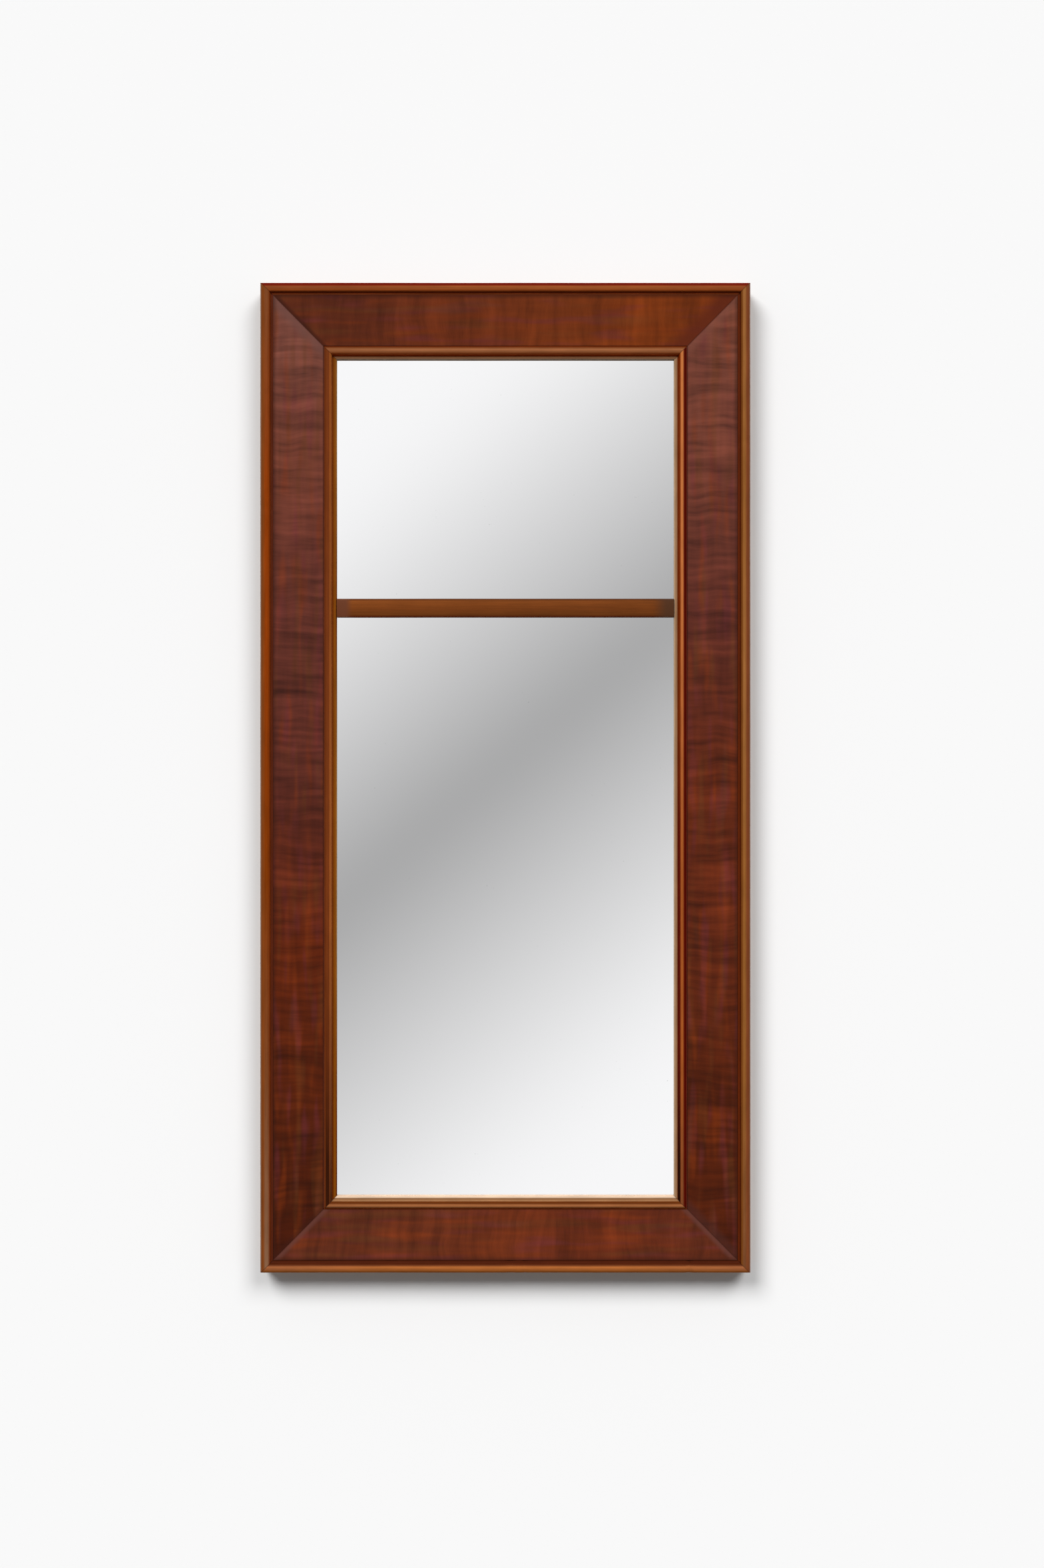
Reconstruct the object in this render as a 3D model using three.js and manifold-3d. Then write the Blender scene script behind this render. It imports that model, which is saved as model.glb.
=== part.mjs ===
// Pier mirror: a mahogany-veneered frame on a softwood core, two mirror plates one above the other with a
// crossbar between them, backboards nailed into the back, and two D-ring hangers.
//
// Millimetres. +X is the viewer's right, +Z is up and the front faces -Y. The back face lies at y = 0.
// The origin is the middle of the top rail's back face.
// A section is drawn with u, the distance in from the frame's outer edge, and v, the height in front of
// the back face, so v = -y.

import * as THREE from 'three';
import { mergeVertices } from 'three/addons/utils/BufferGeometryUtils.js';
import Module from 'manifold-3d';

const wasm = await Module();
wasm.setup();

// ---- Driving dimensions ----

const frame_width = 600;
const frame_height = 1212;

// Widths across the frame's moulding, from the outer edge in to the sight edge.
const outer_bead_width = 12.7;
const outer_quirk_width = 3.3;
const field_width = 60.8;
const inner_quirk_width = 1.4;
const inner_bead_width = 9.2;
const lip_quirk_width = 1.5;
const lip_width = 4.1;

// Heights in front of the back face.
const outer_shoulder_height = 22;
const outer_bead_flank_height = 27;
const outer_bead_height = 36;
const outer_bead_inner_flank_height = 31;
const outer_quirk_height = 29;
const field_outer_height = 32;
const field_inner_height = 24.5;
const inner_quirk_height = 21.8;
const inner_bead_flank_height = 22.5;
const inner_bead_height = 28.5;
const lip_quirk_height = 20.6;
const lip_flank_height = 21;
const lip_height = 22.4;
const sight_shelf_height = 18;

// The bead's crown lies nearer its inner side.
const outer_bead_crown_inset = 8.5;

const veneer_thickness = 1.2;

// The two steps of the rebate in the back.
const glass_rebate_width = 9;
const backboard_ledge_width = 14;
const backboard_rebate_depth = 9;

// Glass and crossbar.
const mirror_thickness = 3.5;
const upper_sight_height = 293.5;
const crossbar_width = 22.5;
const crossbar_web_width = 5;
const crossbar_strip_thickness = 3.7;
const crossbar_back_height = 10.5;
const crossbar_veneer_edge_thickness = 0.9;
const crossbar_veneer_crown = 0.8;
const tenon_length = 12;
const tenon_back_height = 11.5;
const tenon_front_height = 16.5;

// Loose key let in across each corner's mitre.
const spline_leg = 60;
const spline_thickness = 3;
const spline_back_height = 11;

// Backboards, their nails and the glue blocks behind the glass.
const backboard_count = 3;
const backboard_thickness = 7;
const backboard_nail_inset = 55;
const nail_shank_radius = 0.9;
const nail_head_radius = 2.4;
const nail_head_thickness = 0.8;
const nail_length = 14;
const nail_point_length = 3;
const block_length = 60;
const block_width = 6.7;
const upper_block_inset = 90;
const lower_block_inset = 110;
const lower_block_count = 3;

// Hangers.
const hanger_inset = 35;
const hanger_drop = 240;
const strap_width = 18;
const strap_length = 40;
const strap_thickness = 1.5;
const knuckle_closing_angle = 22;
const ring_wire_radius = 1.6;
const ring_inner_width = 24;
const ring_arm_length = 8;
const ring_corner_radius = 3;
const screw_shank_radius = 1.9;
const screw_head_radius = 3.6;
const screw_head_height = 1.9;
const screw_length = 17;
const screw_point_length = 5;
const screw_slot_width = 0.9;
const screw_slot_depth = 0.8;
const upper_screw_drop = 8;
const lower_screw_drop = 30;

// Clearances.
const glue_line = 0.3;
const mitre_gap = 0.4;
const glass_edge_clearance = 0.8;
const board_edge_clearance = 0.6;
const ring_clearance = 0.25;
const shank_clearance = 0.25;
const head_gap = 0.3;
const cut_margin = 4;

// Facets.
const bead_segments = 4;
const round_segments = 16;
const small_round_segments = 8;
const ring_sides = 8;
const ring_steps = 56;

// ---- Places worked out from them ----

const field_start = outer_bead_width + outer_quirk_width;
const field_end = field_start + field_width;
const inner_bead_start = field_end + inner_quirk_width;
const inner_bead_end = inner_bead_start + inner_bead_width;
const lip_start = inner_bead_end + lip_quirk_width;
const member_width = lip_start + lip_width;
const glass_rebate_wall = member_width - glass_rebate_width;
const backboard_rebate_wall = glass_rebate_wall - backboard_ledge_width;
const veneer_build = veneer_thickness + glue_line;

const sight_half_width = frame_width / 2 - member_width;
const sight_top = frame_height / 2 - member_width;
const crossbar_z = sight_top - upper_sight_height - crossbar_width / 2;
const frame_centre_z = backboard_rebate_wall / 2 - frame_height / 2;

const glass_front_height = sight_shelf_height - glue_line;
const glass_back_height = glass_front_height - mirror_thickness;
const board_front_height = backboard_rebate_depth - glue_line;
const board_back_height = board_front_height - backboard_thickness;
const nail_u = (glass_rebate_wall + backboard_rebate_wall) / 2;

const sides = {
  top_rail: { turn: 0, span: frame_width, reach: frame_height / 2 },
  right_stile: { turn: Math.PI / 2, span: frame_height, reach: frame_width / 2 },
  bottom_rail: { turn: Math.PI, span: frame_width, reach: frame_height / 2 },
  left_stile: { turn: -Math.PI / 2, span: frame_height, reach: frame_width / 2 },
};
const hands = { left: -1, right: 1 };

// ---- Materials ----

function finish(color, roughness, metalness) {
  return new THREE.MeshStandardMaterial({ color, roughness, metalness });
}

const veneer_finish = finish(0x6b3220, 0.35, 0);
const bead_finish = finish(0x99562b, 0.32, 0);
const crossbar_finish = finish(0x78411f, 0.4, 0);
const softwood_finish = finish(0xa9834f, 0.75, 0);
const board_finish = finish(0x9c7a4c, 0.8, 0);
const hardwood_finish = finish(0x8a5c34, 0.6, 0);
const mirror_finish = finish(0xe4e7e9, 0.03, 1);
const nail_finish = finish(0x3d3733, 0.6, 0.9);
const strap_finish = finish(0xb08a45, 0.38, 1);
const screw_finish = finish(0xa8843f, 0.35, 1);

// ---- Shape helpers ----

function named(name, geometry, material) {
  const mesh = new THREE.Mesh(geometry, material);
  mesh.name = name;
  return mesh;
}

function solidOf(geometry) {
  const bare = geometry.clone();
  bare.deleteAttribute('normal');
  bare.deleteAttribute('uv');
  const merged = mergeVertices(bare);
  const vertProperties = Float32Array.from(merged.attributes.position.array);
  const triVerts = Uint32Array.from(merged.index.array);
  return new wasm.Manifold(new wasm.Mesh({ numProp: 3, vertProperties, triVerts }));
}

function geometryOf(solid) {
  const mesh = solid.getMesh();
  const geometry = new THREE.BufferGeometry();
  geometry.setAttribute('position', new THREE.BufferAttribute(mesh.vertProperties, 3));
  geometry.setIndex(new THREE.BufferAttribute(mesh.triVerts, 1));
  geometry.computeVertexNormals();
  return geometry;
}

function cut(geometry, tools) {
  const start = solidOf(geometry);
  return geometryOf(tools.reduce((solid, tool) => solid.subtract(solidOf(tool)), start));
}

function joined(geometries) {
  const [first, ...rest] = geometries.map(solidOf);
  return geometryOf(rest.reduce((solid, other) => solid.add(other), first));
}

// A block given by its ranges in x, v and z.
function block([x_low, x_high], [v_low, v_high], [z_low, z_high]) {
  const geometry = new THREE.BoxGeometry(x_high - x_low, v_high - v_low, z_high - z_low);
  return geometry.translate((x_low + x_high) / 2, -(v_low + v_high) / 2, (z_low + z_high) / 2);
}

// A flat plate: an outline drawn in x and z, with its thickness from v_low forwards.
function plate(outline, v_low, thickness) {
  const options = { depth: thickness, bevelEnabled: false, curveSegments: small_round_segments };
  return new THREE.ExtrudeGeometry(outline, options).translate(0, 0, v_low).rotateX(Math.PI / 2);
}

// A section drawn with x for z, and y for y (y_sign 1) or v (y_sign -1), run along x about the middle.
function alongX(section, length, y_sign) {
  const options = { depth: length, bevelEnabled: false, curveSegments: small_round_segments };
  const up = new THREE.Vector3(0, 0, 1);
  const out = new THREE.Vector3(0, y_sign, 0);
  const along = new THREE.Vector3().crossVectors(up, out);
  const geometry = new THREE.ExtrudeGeometry(section, options).translate(0, 0, -length / 2);
  return geometry.applyMatrix4(new THREE.Matrix4().makeBasis(up, out, along));
}

// A turned piece whose axis points forwards, with its profile as [radius, v] pairs.
function turned(profile, segments) {
  const points = profile.map(([radius, v]) => new THREE.Vector2(radius, v));
  return new THREE.LatheGeometry(points, segments).rotateX(Math.PI);
}

// A round hole's tool: a cylinder along y from v_low to v_high.
function drill(radius, x, z, v_low, v_high) {
  const tool = new THREE.CylinderGeometry(radius, radius, v_high - v_low, small_round_segments);
  return tool.translate(x, -(v_low + v_high) / 2, z);
}

// A length of moulding with mitred ends, one side of the frame, lying along x with its outer edge up.
function mitred(section, side) {
  const options = { depth: 1, steps: 1, bevelEnabled: false, curveSegments: bead_segments };
  const geometry = new THREE.ExtrudeGeometry(section, options);
  const position = geometry.attributes.position;
  for (let i = 0; i < position.count; i += 1) {
    const u = position.getX(i);
    const v = position.getY(i);
    const end = 1 - 2 * position.getZ(i);
    position.setXYZ(i, end * (side.span / 2 - u - mitre_gap / 2), -v, side.reach - u);
  }
  geometry.computeVertexNormals();
  return geometry;
}

// ---- Sections ----

function coreSection() {
  const shape = new THREE.Shape();
  shape.moveTo(0, 0);
  shape.lineTo(0, outer_shoulder_height);
  shape.lineTo(field_start, outer_shoulder_height);
  shape.lineTo(field_start, field_outer_height - veneer_build);
  shape.lineTo(field_end, field_inner_height - veneer_build);
  shape.lineTo(field_end, sight_shelf_height);
  shape.lineTo(glass_rebate_wall, sight_shelf_height);
  shape.lineTo(glass_rebate_wall, backboard_rebate_depth);
  shape.lineTo(backboard_rebate_wall, backboard_rebate_depth);
  shape.lineTo(backboard_rebate_wall, 0);
  return shape;
}

// The sloping field between the two beads, which falls towards the glass.
function veneerSection() {
  const shape = new THREE.Shape();
  shape.moveTo(field_start, field_outer_height - veneer_thickness);
  shape.lineTo(field_start, field_outer_height);
  shape.lineTo(field_end, field_inner_height);
  shape.lineTo(field_end, field_inner_height - veneer_thickness);
  return shape;
}

// The outer bead rolls over to the frame's side, and drops steeply to a quirk on the inside.
function outerBeadSection() {
  const base = outer_shoulder_height + glue_line;
  const inner_side = field_start - glue_line;
  const crown = outer_bead_crown_inset;
  const outer_rise = outer_bead_height - outer_bead_flank_height;
  const inner_rise = outer_bead_height - outer_bead_inner_flank_height;
  const inner_run = outer_bead_width - crown;
  const shape = new THREE.Shape();
  shape.moveTo(0, base);
  shape.absellipse(crown, outer_bead_flank_height, crown, outer_rise, Math.PI, Math.PI / 2, true);
  shape.absellipse(crown, outer_bead_inner_flank_height, inner_run, inner_rise, Math.PI / 2, 0, true);
  shape.lineTo(outer_bead_width, outer_quirk_height);
  shape.lineTo(inner_side, outer_quirk_height);
  shape.lineTo(inner_side, base);
  return shape;
}

// The sight moulding: a bead and a small lip, which stands over the glass and holds it from the front.
function sightSection() {
  const base = sight_shelf_height + glue_line;
  const outer_side = field_end + glue_line;
  const bead_radius = inner_bead_width / 2;
  const bead_rise = inner_bead_height - inner_bead_flank_height;
  const lip_rise = lip_height - lip_flank_height;
  const lip_radius = lip_width / 2;
  const bead_centre = inner_bead_start + bead_radius;
  const lip_centre = lip_start + lip_radius;
  const shape = new THREE.Shape();
  shape.moveTo(outer_side, base);
  shape.lineTo(outer_side, inner_quirk_height);
  shape.lineTo(inner_bead_start, inner_quirk_height);
  shape.absellipse(bead_centre, inner_bead_flank_height, bead_radius, bead_rise, Math.PI, 0, true);
  shape.lineTo(inner_bead_end, lip_quirk_height);
  shape.lineTo(lip_start, lip_quirk_height);
  shape.absellipse(lip_centre, lip_flank_height, lip_radius, lip_rise, Math.PI, 0, true);
  shape.lineTo(member_width, base);
  return shape;
}

// ---- Corner keys ----

// A right triangle with its square corner at the frame's corner (x, z), grown past the outer edges by margin.
function cornerTriangle(x, z, leg, margin) {
  const x_in = -Math.sign(x);
  const z_in = -Math.sign(z);
  const shape = new THREE.Shape();
  shape.moveTo(x - x_in * margin, z - z_in * margin);
  shape.lineTo(x + x_in * (leg + margin), z - z_in * margin);
  shape.lineTo(x - x_in * margin, z + z_in * (leg + margin));
  return shape;
}

function cornerSlot(side, end) {
  const leg = spline_leg + glue_line * Math.SQRT2;
  const outline = cornerTriangle(end * side.span / 2, side.reach, leg, cut_margin);
  return plate(outline, spline_back_height - glue_line, spline_thickness + 2 * glue_line);
}

function cornerSplines() {
  const group = new THREE.Group();
  for (const [height, z] of Object.entries({ top: frame_height / 2, bottom: -frame_height / 2 })) {
    for (const [hand, sign] of Object.entries(hands)) {
      const outline = cornerTriangle(sign * frame_width / 2, z, spline_leg, 0);
      const key = plate(outline, spline_back_height, spline_thickness);
      group.add(named(`corner_spline_${height}_${hand}`, key, hardwood_finish));
    }
  }
  return group;
}

// ---- Crossbar ----

const crossbar_strip_back = sight_shelf_height + glue_line;
const crossbar_strip_front = crossbar_strip_back + crossbar_strip_thickness;

// A face strip over the edges of both plates, a web between them and a stub tenon at each end.
function crossbar() {
  const strip_reach = sight_half_width - glue_line;
  const web_reach = frame_width / 2 - glass_rebate_wall - glue_line;
  const tenon_reach = frame_width / 2 - glass_rebate_wall + tenon_length;
  const web = [crossbar_z - crossbar_web_width / 2, crossbar_z + crossbar_web_width / 2];
  const strip = [crossbar_z - crossbar_width / 2, crossbar_z + crossbar_width / 2];
  return joined([
    block([-strip_reach, strip_reach], [crossbar_strip_back, crossbar_strip_front], strip),
    block([-strip_reach, strip_reach], [crossbar_back_height, crossbar_strip_front], web),
    block([-web_reach, web_reach], [crossbar_back_height, glass_front_height], web),
    block([-tenon_reach, tenon_reach], [tenon_back_height, tenon_front_height], web),
  ]);
}

function mortise(sign) {
  const wall = sign * (frame_width / 2 - glass_rebate_wall - cut_margin);
  const bottom = sign * (frame_width / 2 - glass_rebate_wall + tenon_length + glue_line);
  const half = crossbar_web_width / 2 + glue_line;
  return block(
    [Math.min(wall, bottom), Math.max(wall, bottom)],
    [tenon_back_height - glue_line, tenon_front_height + glue_line],
    [crossbar_z - half, crossbar_z + half],
  );
}

// The bar's veneer is a little crowned across its width.
function crossbarVeneer() {
  const back = crossbar_strip_front + glue_line;
  const edge = back + crossbar_veneer_edge_thickness;
  const half = crossbar_width / 2;
  const length = 2 * (sight_half_width - glue_line);
  const shape = new THREE.Shape();
  shape.moveTo(-half, back);
  shape.absellipse(0, edge, half, crossbar_veneer_crown, Math.PI, 0, true);
  shape.lineTo(half, back);
  return alongX(shape, length, -1).translate(0, 0, crossbar_z);
}

// ---- Mirror plates ----

function mirrorPlates() {
  const group = new THREE.Group();
  const half_width = frame_width / 2 - glass_rebate_wall - glass_edge_clearance;
  const rebate_half_height = frame_height / 2 - glass_rebate_wall;
  const web_half = crossbar_web_width / 2;
  const depth = [glass_back_height, glass_front_height];
  const across = [-half_width, half_width];
  const upper = [crossbar_z + web_half + glue_line, rebate_half_height - glass_edge_clearance];
  const lower = [-rebate_half_height + glue_line, crossbar_z - web_half - glass_edge_clearance];
  group.add(named('upper_mirror_plate', block(across, depth, upper), mirror_finish));
  group.add(named('lower_mirror_plate', block(across, depth, lower), mirror_finish));
  return group;
}

// ---- Glue blocks ----

// Three-cornered softwood blocks, glued to the rebate's wall, hold the glass from behind.
function glueBlocks() {
  const group = new THREE.Group();
  const wall = frame_width / 2 - glass_rebate_wall - glue_line;
  const back = backboard_rebate_depth + glue_line;
  const front = glass_back_height - glue_line;
  const low = -(frame_height / 2 - member_width) + lower_block_inset;
  const high = crossbar_z - lower_block_inset;
  const heights = [sight_top - upper_block_inset, crossbar_z + upper_block_inset];
  for (let i = 0; i < lower_block_count; i += 1) {
    heights.push(high - (high - low) * i / (lower_block_count - 1));
  }
  for (const [hand, sign] of Object.entries(hands)) {
    heights.forEach((z, index) => {
      const shape = new THREE.Shape();
      shape.moveTo(sign * wall, -back);
      shape.lineTo(sign * wall, -front);
      shape.lineTo(sign * (wall - block_width), -front);
      const prism = new THREE.ExtrudeGeometry(shape, { depth: block_length, bevelEnabled: false });
      prism.translate(0, 0, z - block_length / 2);
      group.add(named(`glue_block_${hand}_${index + 1}`, prism, softwood_finish));
    });
  }
  return group;
}

// ---- Backboards and nails ----

const board_half_width = frame_width / 2 - backboard_rebate_wall - board_edge_clearance;
const board_zone_height = frame_height - 2 * (backboard_rebate_wall + board_edge_clearance);
const board_height = (board_zone_height - glue_line * (backboard_count - 1)) / backboard_count;
const nail_x = frame_width / 2 - nail_u;

function boardCentre(index) {
  return board_zone_height / 2 - board_height / 2 - index * (board_height + glue_line);
}

// The four nails of a board, as [x, z] from the frame's centre.
function nailPlaces(index) {
  const rise = board_height / 2 - backboard_nail_inset;
  const centre = boardCentre(index);
  return [[-nail_x, centre + rise], [nail_x, centre + rise], [-nail_x, centre - rise], [nail_x, centre - rise]];
}

function allNailPlaces() {
  return Array.from({ length: backboard_count }, (_, index) => nailPlaces(index)).flat();
}

function backboards() {
  const group = new THREE.Group();
  for (let index = 0; index < backboard_count; index += 1) {
    const centre = boardCentre(index);
    const outline = new THREE.Shape();
    outline.moveTo(-board_half_width, centre - board_height / 2);
    outline.lineTo(board_half_width, centre - board_height / 2);
    outline.lineTo(board_half_width, centre + board_height / 2);
    outline.lineTo(-board_half_width, centre + board_height / 2);
    for (const [x, z] of nailPlaces(index)) {
      const hole = new THREE.Path();
      hole.absarc(x, z, nail_shank_radius + shank_clearance, 0, 2 * Math.PI, true);
      outline.holes.push(hole);
    }
    const board = plate(outline, board_back_height, backboard_thickness);
    group.add(named(`backboard_${index + 1}`, board, board_finish));
  }
  return group;
}

// A nail whose head lies on the board's back, and whose shank goes through it into the frame's ledge.
function backboardNails() {
  const group = new THREE.Group();
  const head_front = board_back_height - head_gap;
  const head_back = head_front - nail_head_thickness;
  const profile = [
    [0, head_back],
    [nail_head_radius, head_back],
    [nail_head_radius, head_front],
    [nail_shank_radius, head_front],
    [nail_shank_radius, head_front + nail_length - nail_point_length],
    [0, head_front + nail_length],
  ];
  allNailPlaces().forEach(([x, z], index) => {
    const nail = named(`backboard_nail_${index + 1}`, turned(profile, small_round_segments), nail_finish);
    nail.position.set(x, 0, z);
    group.add(nail);
  });
  return group;
}

function nailHoles(sign) {
  const places = allNailPlaces().filter(([x]) => Math.sign(x) === sign);
  const deep = board_back_height - head_gap + nail_length + glue_line;
  const radius = nail_shank_radius + shank_clearance;
  return places.map(([x, z]) => drill(radius, x, z, backboard_rebate_depth - cut_margin, deep));
}

// ---- Hangers ----

const knuckle_inner_radius = ring_wire_radius + ring_clearance;
const knuckle_outer_radius = knuckle_inner_radius + strap_thickness;
const ring_axis_v = -(glue_line + knuckle_outer_radius);
const hanger_x = frame_width / 2 - hanger_inset;
const hanger_z = frame_height / 2 - hanger_drop;
const screw_drops = { upper: upper_screw_drop, lower: lower_screw_drop };

// The strap's flat plate, with a round end and two screw holes.
function strapPlate() {
  const half = strap_width / 2;
  const outline = new THREE.Shape();
  outline.moveTo(half, 0);
  outline.lineTo(-half, 0);
  outline.absarc(0, half - strap_length, half, Math.PI, 2 * Math.PI, false);
  for (const drop of Object.values(screw_drops)) {
    const hole = new THREE.Path();
    hole.absarc(0, -drop, screw_shank_radius + shank_clearance, 0, 2 * Math.PI, true);
    outline.holes.push(hole);
  }
  return plate(outline, -glue_line - strap_thickness, strap_thickness);
}

// The strap's end, rolled round the straight side of the ring. It starts at the plate, goes up and over,
// and stops short of the plate's outer face.
function strapKnuckle() {
  const closing = Math.PI + THREE.MathUtils.degToRad(knuckle_closing_angle);
  const shape = new THREE.Shape();
  shape.absarc(0, 0, knuckle_outer_radius, -Math.PI / 2, closing, false);
  shape.absarc(0, 0, knuckle_inner_radius, closing, -Math.PI / 2, true);
  return alongX(shape, strap_width, 1).translate(0, -ring_axis_v, 0);
}

// A bent wire ring in a D, its straight side closed by a butt joint inside the knuckle.
function hangerRing() {
  const half = ring_inner_width / 2 + ring_wire_radius;
  const corner = ring_corner_radius;
  const at = (x, z) => new THREE.Vector3(x, 0, z);
  const path = new THREE.CurvePath();
  const bow = (t) => at(-half * Math.cos(Math.PI * t), -ring_arm_length - half * Math.sin(Math.PI * t));
  path.add(new THREE.LineCurve3(at(-glue_line / 2, 0), at(corner - half, 0)));
  path.add(new THREE.QuadraticBezierCurve3(at(corner - half, 0), at(-half, 0), at(-half, -corner)));
  path.add(new THREE.LineCurve3(at(-half, -corner), at(-half, -ring_arm_length)));
  path.add(arcCurve(bow));
  path.add(new THREE.LineCurve3(at(half, -ring_arm_length), at(half, -corner)));
  path.add(new THREE.QuadraticBezierCurve3(at(half, -corner), at(half, 0), at(half - corner, 0)));
  path.add(new THREE.LineCurve3(at(half - corner, 0), at(glue_line / 2, 0)));
  const section = new THREE.Shape();
  for (let i = 0; i < ring_sides; i += 1) {
    const angle = 2 * Math.PI * (i + 0.5) / ring_sides;
    const x = ring_wire_radius * Math.cos(angle);
    const y = ring_wire_radius * Math.sin(angle);
    if (i === 0) section.moveTo(x, y);
    else section.lineTo(x, y);
  }
  return new THREE.ExtrudeGeometry(section, { steps: ring_steps, bevelEnabled: false, extrudePath: path });
}

function arcCurve(pointAt) {
  const curve = new THREE.Curve();
  curve.getPoint = (t) => pointAt(t);
  return curve;
}

// A round-headed wood screw with a slot in its head.
function hangerScrew() {
  const seat = -(glue_line + strap_thickness + head_gap);
  const dome = Array.from({ length: small_round_segments }, (_, i) => {
    const angle = Math.PI / 2 * i / small_round_segments;
    return [screw_head_radius * Math.sin(angle), seat - screw_head_height * Math.cos(angle)];
  });
  const profile = [
    ...dome,
    [screw_head_radius, seat],
    [screw_shank_radius, seat],
    [screw_shank_radius, seat + screw_length - screw_point_length],
    [0, seat + screw_length],
  ];
  const reach = screw_head_radius + cut_margin;
  const top = seat - screw_head_height;
  const slot = block(
    [-reach, reach],
    [top - cut_margin, top + screw_slot_depth],
    [-screw_slot_width / 2, screw_slot_width / 2],
  );
  return cut(turned(profile, round_segments), [slot]);
}

function hanger(hand, sign) {
  const group = new THREE.Group();
  group.position.set(sign * hanger_x, 0, hanger_z);
  group.add(named(`${hand}_hanger_strap`, joined([strapPlate(), strapKnuckle()]), strap_finish));
  const ring = named(`${hand}_hanger_ring`, hangerRing(), strap_finish);
  ring.position.y = -ring_axis_v;
  group.add(ring);
  for (const [place, drop] of Object.entries(screw_drops)) {
    const screw = named(`${hand}_hanger_screw_${place}`, hangerScrew(), screw_finish);
    screw.position.z = -drop;
    group.add(screw);
  }
  return group;
}

function screwHoles(sign) {
  const radius = screw_shank_radius + shank_clearance;
  const deep = screw_length + glue_line;
  return Object.values(screw_drops).map((drop) =>
    drill(radius, sign * hanger_x, hanger_z - drop, -cut_margin, deep));
}

// ---- Frame ----

function coreCuts(name, side) {
  const tools = [cornerSlot(side, -1), cornerSlot(side, 1)];
  const sign = { left_stile: -1, right_stile: 1 }[name];
  if (sign) {
    const drilled = [mortise(sign), ...nailHoles(sign), ...screwHoles(sign)];
    tools.push(...drilled.map((tool) => tool.rotateY(-side.turn)));
  }
  return tools;
}

function frameSide(name, side) {
  const group = new THREE.Group();
  group.rotation.y = side.turn;
  group.add(named(`core_${name}`, cut(mitred(coreSection(), side), coreCuts(name, side)), softwood_finish));
  group.add(named(`veneer_${name}`, mitred(veneerSection(), side), veneer_finish));
  group.add(named(`outer_bead_${name}`, mitred(outerBeadSection(), side), bead_finish));
  group.add(named(`sight_moulding_${name}`, mitred(sightSection(), side), bead_finish));
  return group;
}

const frame = new THREE.Group();
frame.position.z = frame_centre_z;
for (const [name, side] of Object.entries(sides)) {
  frame.add(frameSide(name, side));
}
frame.add(cornerSplines());
frame.add(named('crossbar', crossbar(), hardwood_finish));
frame.add(named('crossbar_veneer', crossbarVeneer(), crossbar_finish));
frame.add(mirrorPlates());
frame.add(glueBlocks());
frame.add(backboards());
frame.add(backboardNails());
for (const [hand, sign] of Object.entries(hands)) {
  frame.add(hanger(hand, sign));
}

const pier_mirror = new THREE.Group();
pier_mirror.add(frame);

export default pier_mirror;
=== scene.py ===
import math
import random

import bmesh
import bpy
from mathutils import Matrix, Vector, noise


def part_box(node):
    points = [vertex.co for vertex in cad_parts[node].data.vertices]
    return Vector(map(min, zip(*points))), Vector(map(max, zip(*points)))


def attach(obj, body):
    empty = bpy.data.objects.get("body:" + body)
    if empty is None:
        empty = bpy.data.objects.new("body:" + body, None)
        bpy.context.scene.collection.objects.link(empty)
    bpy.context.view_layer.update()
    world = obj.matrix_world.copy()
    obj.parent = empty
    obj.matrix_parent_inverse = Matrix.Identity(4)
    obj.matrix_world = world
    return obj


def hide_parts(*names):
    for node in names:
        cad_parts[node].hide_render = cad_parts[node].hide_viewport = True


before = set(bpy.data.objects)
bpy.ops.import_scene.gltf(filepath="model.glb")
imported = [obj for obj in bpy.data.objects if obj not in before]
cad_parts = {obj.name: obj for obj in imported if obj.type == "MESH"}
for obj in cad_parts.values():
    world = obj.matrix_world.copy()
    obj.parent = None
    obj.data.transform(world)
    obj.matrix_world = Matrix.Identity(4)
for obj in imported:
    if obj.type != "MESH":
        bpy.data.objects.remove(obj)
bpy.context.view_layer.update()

# ---- Camera ----
# It stands square to the wall and level with the mirror's middle, far enough back that the moulding's
# sides hardly show.
camera_lens = bpy.data.cameras.new("camera")
camera_lens.sensor_width = 36
camera_lens.lens = 52.48
camera = bpy.data.objects.new("camera", camera_lens)
camera.location = (0.0204, -2.827, -0.5787)
camera.rotation_euler = (math.radians(90), 0, 0)
bpy.context.collection.objects.link(camera)
bpy.context.scene.camera = camera
bpy.context.scene.view_settings.view_transform = "Standard"


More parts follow.
